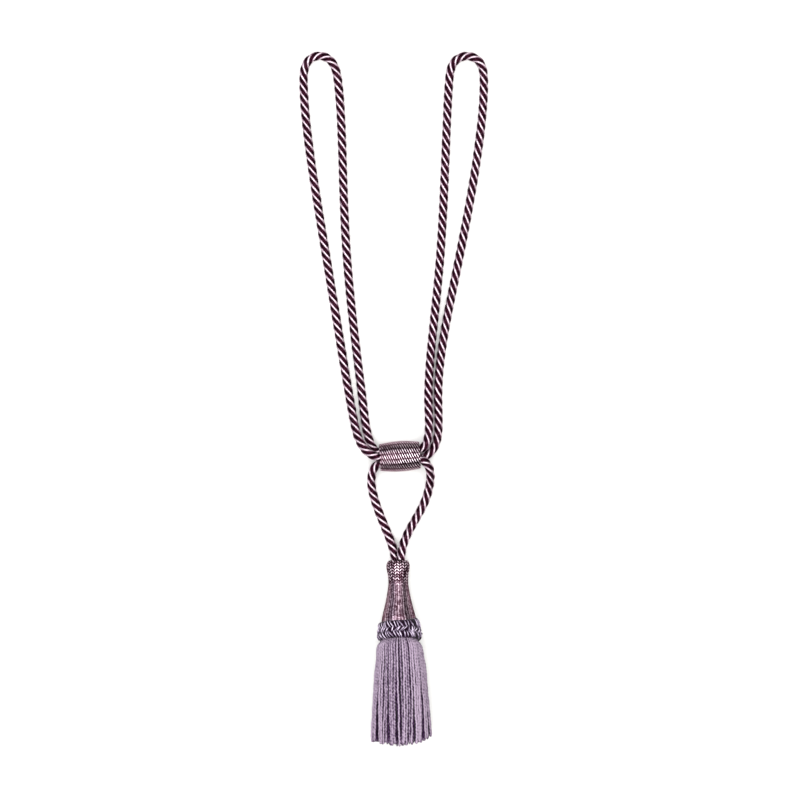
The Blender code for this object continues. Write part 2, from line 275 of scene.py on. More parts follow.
# stops are tones with their colours; lustre is the gloss at a dark and at a pale tone;
# threads is how fast ridges follow one another round and along the yarn, in radians
def yarnMaterial(
    name, stops, values, lustre, patchiness, mottle=yarnFinish["mottle"], threads=None, threadStrength=0.0
):
    material, tree, shader = newMaterial(name, values)
    tone = addNode(tree, "ShaderNodeAttribute", {"attribute_name": "tone"})
    place = addNode(tree, "ShaderNodeNewGeometry")
    patches = addNode(
        tree,
        "ShaderNodeTexNoise",
        {"Scale": 1.0 / (mottle * mm), "Detail": 3.0},
        {"Vector": place.outputs["Position"]},
    )
    low, high = yarnFinish["noiseRange"]
    uneven = addNode(
        tree,
        "ShaderNodeMapRange",
        {"From Min": low, "From Max": high, "To Min": -patchiness, "To Max": patchiness, "clamp": False},
        {"Value": patches.outputs["Fac"]},
    )
    level = addNode(
        tree,
        "ShaderNodeMath",
        {"operation": "ADD"},
        {0: tone.outputs["Fac"], 1: uneven.outputs["Result"]},
    )
    ramp = addNode(tree, "ShaderNodeValToRGB", {}, {"Fac": level.outputs["Value"]})
    colours = ramp.color_ramp.elements
    colours[0].position, colours[0].color = stops[0][0], linear(stops[0][1])
    colours[1].position, colours[1].color = stops[-1][0], linear(stops[-1][1])
    for position, colour in stops[1:-1]:
        colours.new(position).color = linear(colour)
    tree.links.new(ramp.outputs["Color"], shader.inputs["Base Color"])
    (darkTone, darkLustre), (paleTone, paleLustre) = lustre
    shine = addNode(
        tree,
        "ShaderNodeMapRange",
        {"From Min": darkTone, "From Max": paleTone, "To Min": darkLustre, "To Max": paleLustre},
        {"Value": tone.outputs["Fac"]},
    )
    tree.links.new(shine.outputs["Result"], shader.inputs["Specular IOR Level"])
    fuzz = addNode(
        tree,
        "ShaderNodeTexNoise",
        {"Scale": 1.0 / (yarnFinish["fuzz"] * mm), "Detail": 2.0},
        {"Vector": place.outputs["Position"]},
    )
    relief = addNode(
        tree,
        "ShaderNodeBump",
        {"Strength": yarnFinish["fuzzStrength"], "Distance": yarnFinish["fuzzDepth"] * mm},
        {"Height": fuzz.outputs["Fac"]},
    )
    if threads:
        yarn = addNode(tree, "ShaderNodeUVMap", {"uv_map": "yarn"})
        run = addNode(
            tree,
            "ShaderNodeVectorMath",
            {"operation": "DOT_PRODUCT", 1: (*threads, 0.0)},
            {0: yarn.outputs["UV"]},
        )
        wave = addNode(tree, "ShaderNodeMath", {"operation": "SINE"}, {0: run.outputs["Value"]})
        relief = addNode(
            tree,
            "ShaderNodeBump",
            {"Strength": threadStrength, "Distance": yarnFinish["threadDepth"] * mm},
            {"Height": wave.outputs["Value"], "Normal": relief.outputs["Normal"]},
        )
    tree.links.new(relief.outputs["Normal"], shader.inputs["Normal"])
    return material


# rings of points round an upright axis, at distances down it
def turnedRings(downs, radii, relief):
    sides = relief.shape[1]
    angles = 2.0 * math.pi * np.arange(sides) / sides
    down = np.asarray(downs, dtype=float)[:, None]
    radius = np.asarray(radii, dtype=float)[:, None] + relief
    height = np.broadcast_to(-down, radius.shape)
    return np.stack([radius * np.cos(angles), radius * np.sin(angles), height], axis=-1)


# the same with no relief, from pairs of down and radius
def plainRings(outline, sides):
    downs, radii = zip(*outline)
    return turnedRings(downs, radii, np.zeros((len(outline), sides)))


# moved into place, and kept off the table
def placed(rings, matrix):
    moved = rings @ np.array(matrix.to_3x3()).T + np.array(matrix.translation)
    moved[..., 2] = np.maximum(moved[..., 2], lowest)
    return moved


# a tube along a line, and how far each of its sides faces the way that out points, from 0 to 1
def sweep(line, out, size, turns):
    tangent = np.gradient(line, axis=0)
    tangent /= np.linalg.norm(tangent, axis=1)[:, None]
    across = np.cross(tangent, out)
    across /= np.linalg.norm(across, axis=1)[:, None]
    outward = np.cross(across, tangent)
    tube = (
        line[:, None, :]
        + across[:, None, :] * (np.cos(turns) * size)[..., None]
        + outward[:, None, :] * (np.sin(turns) * size)[..., None]
    )
    return tube, 0.5 + 0.5 * np.sin(turns)[None, :]


# rope: four pale and four plum strands laid up left-handed
rope = {
    "radius": 3.75,
    "lay": 30.8,
    "pairs": 4,  # of strands, a pale and a plum one each
    "paleRadius": 1.45,
    "plumRadius": 1.0,
    "paleProud": 3.74,  # from the rope's middle to a strand's crest
    "plumProud": 2.6,
    # degrees from a pale strand's crest, with the tone there: pale and plum strands keep their own colours,
    # and on top of that each crest is painted palest, as highlight, and the grooves darkest, as painted shade
    "section": [
        (-29.0, 0.0),
        (-25.0, 0.4),
        (-18.0, 0.6),
        (-11.5, 0.7),
        (-6.0, 0.95),
        (0.0, 1.0),
        (6.0, 0.95),
        (11.5, 0.7),
        (18.0, 0.6),
        (25.0, 0.4),
        (29.0, 0.0),
        (32.0, 0.1),
        (37.0, 0.33),
        (45.0, 0.42),
        (53.0, 0.33),
        (58.0, 0.1),
    ],
    "ringsPerLay": 25,
    "rest": 3.6,  # least height of its middle above the table
    "unevenTurn": 0.14,  # radians
    "turnWaves": (3, 47.0, 160.0),  # seed, lengths
    "unevenRadius": 0.025,  # share of the radius
    "swellWaves": (5, 31.0, 120.0),
    "thread": 0.39,  # width of the single yarns along a strand, which show as its satin streaks
    "threadSlant": 2.0,  # how many of them pass a point of the section in one lay
    "routePointEvery": 4,  # rings
}

ropeRoute = [
    # lower left strand, up from the head
    (-5.0, 23.3, 6.05),
    (-6.2, 34.0, 4.4),
    (-14.0, 56.0, 3.6),
    (-22.5, 79.0, 3.9),
    (-24.8, 96.0, 6.6),
    (-20.2, 106.8, 9.3),
    # first pass through the sleeve
    (-1.0, 109.9, 9.2),
    (18.0, 113.0, 7.9),
    # right loop, up its outer leg and down its inner leg
    (27.4, 122.0, 5.4),
    (30.4, 163.0, 3.6),
    (46.8, 273.0, 3.6),
    (68.4, 423.0, 3.6),
    (64.3, 441.6, 3.6),
    (54.3, 446.0, 3.6),
    (44.3, 441.6, 3.6),
    (39.4, 423.0, 3.6),
    (31.6, 273.0, 3.6),
    (22.4, 160.0, 7.6),
    (22.2, 131.0, 10.6),
    # second pass
    (17.6, 121.0, 12.0),
    (-1.6, 118.6, 10.6),
    (-20.6, 118.0, 9.0),
    # left loop, up its inner leg and down its outer leg
    (-27.0, 128.0, 5.6),
    (-31.6, 155.0, 3.6),
    (-46.0, 290.0, 3.6),
    (-52.4, 423.0, 3.6),
    (-58.4, 441.8, 3.6),
    (-68.0, 446.2, 3.6),
    (-77.4, 441.8, 3.6),
    (-81.2, 423.0, 3.6),
    (-62.0, 277.0, 3.6),
    (-40.4, 148.0, 5.4),
    (-31.4, 121.0, 13.6),
    # third pass
    (-17.5, 112.6, 16.7),
    (14.5, 112.0, 16.5),
    # lower right strand, down to the head
    (22.6, 105.5, 14.2),
    (23.4, 90.0, 7.4),
    (17.6, 72.5, 4.8),
    (1.9, 42.0, 9.3),
    (-0.75, 23.3, 12.45),
]


# reach of a round strand's surface from the rope's middle, seen at an angle from the strand
def strandReach(off, proud, radius):
    distance = proud - radius
    inside = radius**2 - (distance * np.sin(off)) ** 2
    return np.where(inside > 0.0, distance * np.cos(off) + np.sqrt(np.maximum(inside, 0.0)), 0.0)


# two directions across the line at each point, carried along it without a twist of their own
def crossDirections(line):
    tangents = np.gradient(line, axis=0)
    tangents /= np.linalg.norm(tangents, axis=1)[:, None]
    side = np.array([0.0, 0.0, 1.0])
    sides = []
    for tangent in tangents:
        side = side - tangent * side.dot(tangent)
        side = side / np.linalg.norm(side)
        sides.append(side)
    sides = np.array(sides)
    return sides, np.cross(tangents, sides)


def makeRope():
    line = smoothCurve(ropeRoute)
    line[:, 2] = np.maximum(line[:, 2], rope["rest"])
    length = lengthsAlong(line)[-1]
    count = round(length / rope["lay"] * rope["ringsPerLay"])
    centres = evenly(line, count)
    along = np.linspace(0.0, length, count + 1)
    sides, others = crossDirections(centres)

    section, pairs = rope["section"], rope["pairs"]
    offPale = np.radians([off for off, tone in section] * pairs)
    offPlum = offPale - math.pi / pairs
    angles = offPale + np.repeat(np.arange(pairs), len(section)) * 2.0 * math.pi / pairs
    # tones across the section, with painted highlight on the crests and painted shade in the grooves
    tones = np.array([tone for off, tone in section] * pairs)
    pale = strandReach(offPale, rope["paleProud"], rope["paleRadius"])
    plum = strandReach(offPlum, rope["plumProud"], rope["plumRadius"])
    reach = np.maximum(pale, plum)

    turn = -2.0 * math.pi * along / rope["lay"] + rope["unevenTurn"] * drift(along, *rope["turnWaves"])
    swell = 1.0 + rope["unevenRadius"] * drift(along, *rope["swellWaves"])
    angle = turn[:, None] + angles[None, :]
    radius = reach[None, :] * swell[:, None]
    rings = (
        centres[:, None, :]
        + sides[:, None, :] * (np.cos(angle) * radius)[..., None]
        + others[:, None, :] * (np.sin(angle) * radius)[..., None]
    )
    rings[..., 2] = np.maximum(rings[..., 2], lowest)
    skin = newSkin()
    around = np.append(angles, angles[0] + 2.0 * math.pi) / (2.0 * math.pi)
    addTube(skin, rings, tones, around, along / rope["lay"])
    # satin viscose yarn, machine twisted: pale strands glint along their crests in the yarn's own colour,
    # which takes a mostly metallic gloss, and plum ones stay nearly matt; the crest lines are also painted
    # paler, as highlight, and the grooves painted dark, as shade
    threadsAround = round(2.0 * math.pi * rope["radius"] / rope["thread"])
    yarn = yarnMaterial(
        "satinViscoseTwist",
        [
            (0.0, "#030001"),
            (0.2, "#10020a"),
            (0.42, "#2c0817"),
            (0.6, "#48343f"),
            (0.8, "#8b7782"),
            (1.0, "#bbabb3"),
        ],
        {"Metallic": 0.88, "Roughness": 0.28, "IOR": 1.5, "Specular Tint": linear("#ffe8f2")},
        lustre=((0.3, 0.0), (0.7, 0.6)),
        patchiness=0.12,
        threads=(2.0 * math.pi * threadsAround, 2.0 * math.pi * rope["threadSlant"]),
        threadStrength=0.3,
    )
    piece = makePiece("twistedRope", skin, yarn, "rope")


makeRope()

# sleeve: a barrel wound with a two-ply cord, so that slanting plies line up in rows
sleeve = {
    "centre": (-1.3, 113.9),
    "turn": 3.8,  # degrees
    "length": 34.0,
    "endRadius": 10.75,
    "waistRadius": 12.45,
    "boreRadius": 9.55,
    "flat": 0.45,  # how much of the round it loses where it lies on the table
    "edgeRound": 1.2,  # length of the rounding at its ends
    "edgeDrop": 0.6,  # and how far it takes the edge in
    "endInset": 0.25,
    "boreInset": 0.2,
    "boreLip": 2.0,  # a ring this far inside keeps the bore's shading even
    # the bore is painted nearly black, as the shade inside the barrel
    "paintedBoreShade": 0.1,
    "finePitch": 1.85,  # of the winding at the left end
    "coarsePitch": 2.0,  # and at the right end
    "coarseFrom": -4.0,  # from the middle; where the finer winding starts to give way
    "coarseTo": 3.0,
    "pliesAround": 17,
    "cordRelief": 0.16,
    "cordRoundness": 0.7,
    "plyRelief": 0.28,
    "gapSharpness": 0.3,  # of the gaps between rows of plies
    # tone of a ply, painted paler at its crest as highlight and darker in the gaps between rows as shade:
    # darkest, rise at its crest, sharpness of the crest, share kept in the gaps between rows
    "crispPly": (0.03, 1.1, 3.0, 0.15),
    "softPly": (0.16, 0.74, 2.0, 0.35),
    "unevenTone": 0.09,
    "toneWaves": (9, 2.3, 7.0),  # seed, lengths
    "firstTurns": (1.0, 2.2),  # from the left end: where the bare first turns start to go, and are gone
    "firstTone": 0.8,
    "firstRelief": 0.25,
    "sides": 238,
    "step": 0.19,
}


# a ply's tone: painted highlight along its crest, painted shade in the gaps between rows
def plyTone(stroke, rowGap, darkest, rise, sharpness, inGaps):
    return (darkest + rise * stroke**sharpness) * (inGaps + (1.0 - inGaps) * rowGap)


def makeSleeve():
    sides = sleeve["sides"]
    half = sleeve["length"] / 2.0
    at = np.arange(sleeve["endInset"] - half, half - sleeve["endInset"], sleeve["step"])
    outer = sleeve["endRadius"] + (sleeve["waistRadius"] - sleeve["endRadius"]) * (1.0 - (at / half) ** 2)
    edge = np.minimum(half - np.abs(at), sleeve["edgeRound"]) / sleeve["edgeRound"]
    outer = outer - sleeve["edgeDrop"] * (1.0 - np.sqrt(edge * (2.0 - edge)))
    share = (np.arange(sides) / sides)[None, :]
    coarse = np.clip((at - sleeve["coarseFrom"]) / (sleeve["coarseTo"] - sleeve["coarseFrom"]), 0.0, 1.0)
    pitch = sleeve["finePitch"] + (sleeve["coarsePitch"] - sleeve["finePitch"]) * coarse
    coarse = coarse[:, None]
    # the winding: turns counted along it, and plies counted round it
    wind = np.cumsum(sleeve["step"] / pitch)[:, None] - share
    across = wind - np.floor(wind)
    ply = sleeve["pliesAround"] * share
    stroke = 0.5 - 0.5 * np.cos(2.0 * math.pi * (ply + across))
    rowGap = np.abs(np.cos(math.pi * ply)) ** sleeve["gapSharpness"]
    cord = np.sin(math.pi * across) ** sleeve["cordRoundness"]
    relief = sleeve["cordRelief"] * cord + sleeve["plyRelief"] * (stroke - 0.5) * (0.5 + 0.5 * coarse)
    crisp = plyTone(stroke, rowGap, *sleeve["crispPly"])
    soft = plyTone(stroke, rowGap, *sleeve["softPly"])
    tones = crisp * coarse + soft * (1.0 - coarse)
    tones = tones + sleeve["unevenTone"] * drift(wind * 3.1 + ply * 1.7, *sleeve["toneWaves"])
    # the first turns at the left end are laid straight, so their plies don't slant; painted shade darkens the
    # gaps between them
    start, end = sleeve["firstTurns"]
    first = np.clip((end - half - at) / (end - start), 0.0, 1.0)[:, None]
    tones = tones * (1.0 - first) + first * rowGap**3 * sleeve["firstTone"]
    relief = relief + first * sleeve["firstRelief"] * (rowGap - 0.6)

    reach = half - sleeve["boreInset"]
    lip = reach - sleeve["boreLip"]
    bore = plainRings([(down, sleeve["boreRadius"]) for down in (reach, lip, -lip, -reach)], sides)
    paintedBoreShades = np.full((len(bore), sides), sleeve["paintedBoreShade"])
    spot = Vector((*sleeve["centre"], sleeve["waistRadius"] - sleeve["flat"]))
    turn = Euler((0.0, math.radians(-90.0), math.radians(sleeve["turn"])))
    rings = np.concatenate([turnedRings(at, outer, relief), bore])
    rings = placed(rings, Matrix.LocRotScale(spot, turn, None))
    skin = newSkin()
    addTube(
        skin,
        rings,
        np.concatenate([np.clip(tones, 0.0, 1.0), paintedBoreShades]),
        np.arange(sides + 1) / sides,
        np.arange(len(rings) + 1) * sleeve["step"],
        caps=False,
        closed=True,
    )
    # two-ply satin cord, wound tightly: its plies catch the light in a broad band along the top
    cordMaterial = yarnMaterial(
        "woundSatinCord",
        [(0.0, "#0a0004"), (0.25, "#1f0810"), (0.5, "#4d3740"), (0.75, "#9c8791"), (1.0, "#f2e2ea")],
        {"Metallic": 0.9, "Roughness": 0.28, "IOR": 1.5, "Specular Tint": linear("#ffe2ee")},
        lustre=((0.2, 0.0), (0.7, 0.6)),
        patchiness=0.12,
    )
    makePiece("woundSleeve", skin, cordMaterial, "sleeve")


makeSleeve()

# tassel: its own axis runs down and leans a little; the widest part of the ruff touches the table
tassel = {
    "top": (-2.9, 27.0),
    "lean": 1.0,  # degrees
    "shoulder": (5.0, 9.65),  # down, radius
    "ruffWidest": (62.0, 18.6),
    "flat": 0.2,
}


def tasselPlace():
    down, radius = tassel["shoulder"]
    nod = math.atan2(tassel["ruffWidest"][1] - radius, tassel["ruffWidest"][0] - down)
    height = radius * math.cos(nod) - down * math.sin(nod) - tassel["flat"]
    turn = Euler((-(math.pi / 2.0 + nod), 0.0, math.radians(tassel["lean"])))
    return Matrix.LocRotScale(Vector((*tassel["top"], height)), turn, None)


tasselMatrix = tasselPlace()

# head: a turned mould, netted at the shoulder and wound below
head = {
    "seed": 17,
    # (down, radius), from the socket's floor up to its rim
    "socket": [(5.0, 7.95), (0.3, 7.95)],
    "outline": [
        # (down, radius)
        (0.0, 8.02),
        (0.25, 8.35),
        (0.9, 8.8),
        (2.0, 9.25),
        (3.4, 9.58),
        (5.0, 9.68),
        (7.0, 9.4),
        (9.5, 8.9),
        (12.5, 8.4),
        (16.0, 8.2),
        (20.0, 8.3),
        (24.0, 8.85),
        (29.0, 9.7),
        (35.0, 11.0),
        (41.0, 12.45),
        (46.0, 13.7),
        (49.0, 14.3),
        (54.0, 14.4),
    ],
    "foot": [(57.0, 14.4), (58.0, 14.2)],  # hidden in the ruff
    # the socket and the foot are painted nearly black, as the shade they lie in
    "hiddenTone": 0.1,
    "netLegs": 26,
    "netRow": 2.4,
    "netRows": 64,  # more than the net has, so that none repeats
    "netSlant": 0.9,  # rows that a stitch climbs
    "netStagger": 0.2,
    "netRelief": 0.36,
    "netEnds": (15.0, 23.0),  # down; the net gives way to plain winding
    "netTone": (0.07, 1.5),  # painted shade between the stitches, and how much paler their crests are painted, as highlight
    "lines": 34,  # upright, where the winding's plies meet
    "lineStrength": (0.2, 0.85),
    "lineSway": 0.15,
    "swayWaves": (21, 19.0),  # seed, length
    "pitch": 0.95,
    "turns": 96,  # more than are wound, so that no fleck repeats
    "windRelief": 0.05,
    "lineRelief": 0.08,
    "windTone": 0.34,
    "lineTone": 0.6,
    "turnTone": 0.13,
    "fleckTone": 0.3,
    "sides": 204,
    "step": 0.19,
}


def makeHead():
    draw = np.random.default_rng(head["seed"])
    outline = smoothCurve([(down, radius, 0.0) for down, radius in head["outline"]], 20)
    down = np.arange(0.0, head["outline"][-1][0], head["step"])
    radius = np.interp(down, outline[:, 0], outline[:, 1])
    sides = head["sides"]
    share = (np.arange(sides) / sides)[None, :]
    deep = down[:, None]
    # net: rows of little slanted stitches that lean one way, then the other
    legs = share * head["netLegs"]
    leg = np.floor(legs).astype(int)
    slant = np.where(leg % 2 == 0, 1.0, -1.0) * head["netSlant"]
    across = legs - leg
    stagger = draw.uniform(-head["netStagger"], head["netStagger"], head["netLegs"])
    row = deep / head["netRow"] + slant * (across - 0.5) + stagger[leg]
    whichRow = np.floor(row).astype(int) % head["netRows"]
    brightness = draw.uniform(0.3, 1.0, (head["netRows"], head["netLegs"]))
    bright = brightness[whichRow, np.broadcast_to(leg, whichRow.shape)]
    stitch = (0.5 - 0.5 * np.cos(2.0 * math.pi * row)) * np.sin(math.pi * across) ** 0.5
    # winding: one fine yarn, turn on turn, its plies meeting in upright lines
    wind = deep / head["pitch"] - share
    turnRidge = np.abs(np.cos(math.pi * wind))
    cell = share * head["lines"]
    strength = draw.uniform(*head["lineStrength"], head["lines"])[np.floor(cell).astype(int)]
    sway = head["lineSway"] * drift(deep + 9.0 * share, *head["swayWaves"])
    line = 0.5 - 0.5 * np.cos(2.0 * math.pi * (cell + sway))
    flecks = draw.uniform(-0.5, 0.5, (head["turns"], 2 * head["lines"]))
    whichTurn = np.floor(wind).astype(int) % head["turns"]
    fleck = flecks[whichTurn, np.broadcast_to((cell * 2).astype(int), wind.shape)]
    # from net to plain winding
    start, end = head["netEnds"]
    plain = np.clip((deep - start) / (end - start), 0.0, 1.0)
    # painted light and shade: crests of stitches, turns and plies are paler, as highlight, and the hollows
    # where they meet darker, as shade; flecks and stitch brightness vary at random
    darkest, rise = head["netTone"]
    netTone = darkest + rise * stitch**1.4 * bright
    lineTone = head["lineTone"] * strength * (line - 0.3)
    windTone = head["windTone"] + lineTone + head["turnTone"] * turnRidge + head["fleckTone"] * fleck
    tones = np.clip(netTone * (1.0 - plain) + windTone * plain, 0.0, 1.0)
    netRelief = head["netRelief"] * (stitch * (0.6 + 0.4 * bright) - 0.5)
    windRelief = head["windRelief"] * (turnRidge - 0.5) + head["lineRelief"] * strength * (line - 0.5)
    relief = netRelief * (1.0 - plain) + windRelief * (0.2 + 0.8 * plain)

    socket = plainRings(head["socket"], sides)
    foot = plainRings(head["foot"], sides)
    rings = placed(np.concatenate([socket, turnedRings(down, radius, relief), foot]), tasselMatrix)
    hidden = np.full((2, sides), head["hiddenTone"])
    skin = newSkin()
    addTube(
        skin,
        rings,
        np.concatenate([hidden, tones, hidden]),
        np.arange(sides + 1) / sides,
        np.arange(len(rings)) * head["step"],
    )
    # satin yarn wound on a turned mould: a pale glint down the middle, plum towards its sides
    winding = yarnMaterial(
        "woundSatinYarn",
        [(0.0, "#0a0004"), (0.25, "#260d16"), (0.5, "#5c4953"), (0.75, "#a4909a"), (1.0, "#dccad3")],
        {"Metallic": 0.9, "Roughness": 0.28, "IOR": 1.5, "Specular Tint": linear("#8c5468")},
        lustre=((0.2, 0.0), (0.7, 0.6)),
        patchiness=0.1,
    )
    makePiece("woundHead", skin, winding, "head")


makeHead()

# ruff: a plaited collar of soft yarns, higher on its right
ruff = {
    "seed": 11,
    "top": 51.6,  # down, at the left
    "rightHigher": 2.8,
    "bottom": 66.4,
    "outline": [
        # (down, radius)
        (48.0, 14.9),
        (49.0, 15.6),
        (51.0, 16.2),
        (54.0, 16.9),
        (57.0, 17.4),
        (60.0, 17.7),
        (63.0, 17.7),
        (65.2, 17.4),
        (66.4, 16.8),
    ],
    # the band under the stitches, painted dark as the shade between them, lies this far inside the outline,
    # and its top edge this much more
    "bandDepth": 0.35,
    "bandEdgeDepth": 0.5,
    "inside": [(66.0, 15.9), (59.0, 15.9), (57.0, 14.6), (53.0, 14.5)],  # (down, radius), from the bottom up
    "paintedBandShade": 0.14,
    "bandSides": 96,
    "bandRings": 24,
    # rows of stitches: down at start and end, lean in stitches, how far they stand out
    "rows": [
        # the first starts at the ruff's own top edge
        {"from": None, "to": 57.9, "lean": 1.28, "proud": 0.95},
        {"from": 56.8, "to": 61.3, "lean": -1.2, "proud": 1.0},
        {"from": 60.4, "to": 66.1, "lean": 1.28, "proud": 0.95},
    ],
    "stitches": 42,
    "skipped": 0.06,  # share of the stitches that are missing
    "rightLooser": 0.9,
    # a hand's unevenness: sideways and lean in stitches, ends in millimetres, the rest as factors
    "sideJitter": 0.26,
    "endJitter": 0.5,
    "leanJitter": 0.8,
    "thickness": (0.72, 1.22),
    "pride": (0.8, 1.15),
    "shade": (0.7, 1.18),
    "thick": 0.58,  # radius of a stitch
    "sunk": 0.5,  # how far its ends lie below the outline
    "sides": 8,
    "rings": 15,
    "stitchLength": 6.3,
    "twist": 1.0,  # one turn of a stitch's plies
    "plies": 3,
    "knot": {"down": 61.0, "out": 17.4, "side": -0.6, "radius": 0.9, "length": 2.0, "droop": 0.6, "rings": 8},
}


# where the ruff starts, in local angle; 0 is the right-hand side
def ruffTop(angle):
    return ruff["top"] - ruff["rightHigher"] * np.maximum(np.cos(angle), 0.0) ** 2


def addBand(skin, outline):
    sides, rows = ruff["bandSides"], ruff["bandRings"]
    angles = 2.0 * math.pi * np.arange(sides) / sides
    top = ruffTop(angles)[None, :]
    share = np.linspace(0.0, 1.0, rows)[:, None]
    downs = top + (ruff["bottom"] - top) * share
    depth = ruff["bandDepth"] + ruff["bandEdgeDepth"] * (1.0 - np.minimum(share * 8.0, 1.0))
    radius = np.interp(downs, outline[:, 0], outline[:, 1]) - depth
    outside = np.stack([radius * np.cos(angles), radius * np.sin(angles), -downs], axis=-1)
    rings = placed(np.concatenate([outside, plainRings(ruff["inside"], sides)]), tasselMatrix)
    along = np.arange(len(rings) + 1) * 0.1 * ruff["stitchLength"]
    addTube(skin, rings, ruff["paintedBandShade"], np.arange(sides + 1) / sides, along, caps=False, closed=True)


def addStitch(skin, draw, outline, turns, row, middle, step):
    mess = 1.0 + ruff["rightLooser"] * max(math.cos(middle), 0.0)
    if draw.random() < ruff["skipped"]:
        return
    sideJitter, endJitter, leanJitter = ruff["sideJitter"], ruff["endJitter"], ruff["leanJitter"]
    middle += draw.uniform(-sideJitter, sideJitter) * mess * step
    start = (row["from"] or float(ruffTop(middle)) + 0.3) + draw.uniform(-endJitter, endJitter) * mess
    end = row["to"] + draw.uniform(-endJitter, endJitter) * mess
    lean = (row["lean"] + draw.uniform(-leanJitter, leanJitter) * mess) * step
    thick = ruff["thick"] * draw.uniform(*ruff["thickness"])
    share = np.linspace(0.0, 1.0, ruff["rings"])
    downs = start + (end - start) * share
    around = middle + lean * (share - 0.5)
    arch = row["proud"] * np.sin(math.pi * share) ** 0.6 * draw.uniform(*ruff["pride"])
    rise = np.interp(downs, outline[:, 0], outline[:, 1]) - ruff["sunk"] + arch
    line = np.stack([rise * np.cos(around), rise * np.sin(around), -downs], axis=1)
    out = np.stack([np.cos(around), np.sin(around), np.zeros_like(around)], axis=1)
    size = thick * (0.3 + 0.7 * np.sin(math.pi * np.clip(share, 0.03, 0.97)) ** 0.5)
    tube, facing = sweep(line, out, size[:, None], turns)
    # painted light and shade: a stitch is pale on its outer side and towards its middle, and nearly black on
    # its inner side and at its sunk ends; then its tone varies at random
    tones = (0.02 + 1.05 * facing**2) * (0.6 + 0.4 * np.sin(math.pi * share)[:, None])
    tones = tones * draw.uniform(*ruff["shade"])
    along = share * ruff["stitchLength"]
    addTube(skin, placed(tube, tasselMatrix), tones, np.arange(len(turns) + 1) / len(turns), along)


# small dark knot that fastens the plait at the right
def addKnot(skin, turns):
    knot = ruff["knot"]
    count = knot["rings"]
    share = np.linspace(0.02, 0.98, count)
    away = knot["out"] + knot["length"] * share
    line = np.stack([away, np.full(count, knot["side"]), -knot["down"] - knot["droop"] * share], axis=1)
    out = np.tile([0.0, 0.0, 1.0], (count, 1))
    size = knot["radius"] * np.sin(math.pi * share) ** 0.5
    tube, facing = sweep(line, out, size[:, None], turns)
    addTube(skin, placed(tube, tasselMatrix), 0.0, np.arange(len(turns) + 1) / len(turns), share)


def makeRuff():
    draw = random.Random(ruff["seed"])
    outline = smoothCurve([(down, radius, 0.0) for down, radius in ruff["outline"]], 20)
    skin = newSkin()
    addBand(skin, outline)
    step = 2.0 * math.pi / ruff["stitches"]
    turns = 2.0 * math.pi * np.arange(ruff["sides"]) / ruff["sides"]
    for number, row in enumerate(ruff["rows"]):
        for k in range(ruff["stitches"]):
            addStitch(skin, draw, outline, turns, row, (k + 0.5 * number) * step, step)
    addKnot(skin, turns)
    # soft spun yarn, plaited: pale on its crests as painted highlight, nearly black between the stitches as
    # painted shade
    plait = yarnMaterial(
        "plaitedSoftYarn",
        [(0.0, "#040006"), (0.25, "#1c0c1c"), (0.5, "#45364a"), (0.75, "#73647a"), (1.0, "#b5a7b9")],
        {"Roughness": 0.5, "IOR": 1.5, "Sheen Weight": 0.1, "Sheen Roughness": 0.5},
        lustre=((0.3, 0.0), (0.7, 0.6)),
        patchiness=0.2,
        threads=(2.0 * math.pi * ruff["plies"], 2.0 * math.pi / ruff["twist"]),
        threadStrength=0.3,
    )
    makePiece("plaitedRuff", skin, plait, "ruff")


makeRuff()

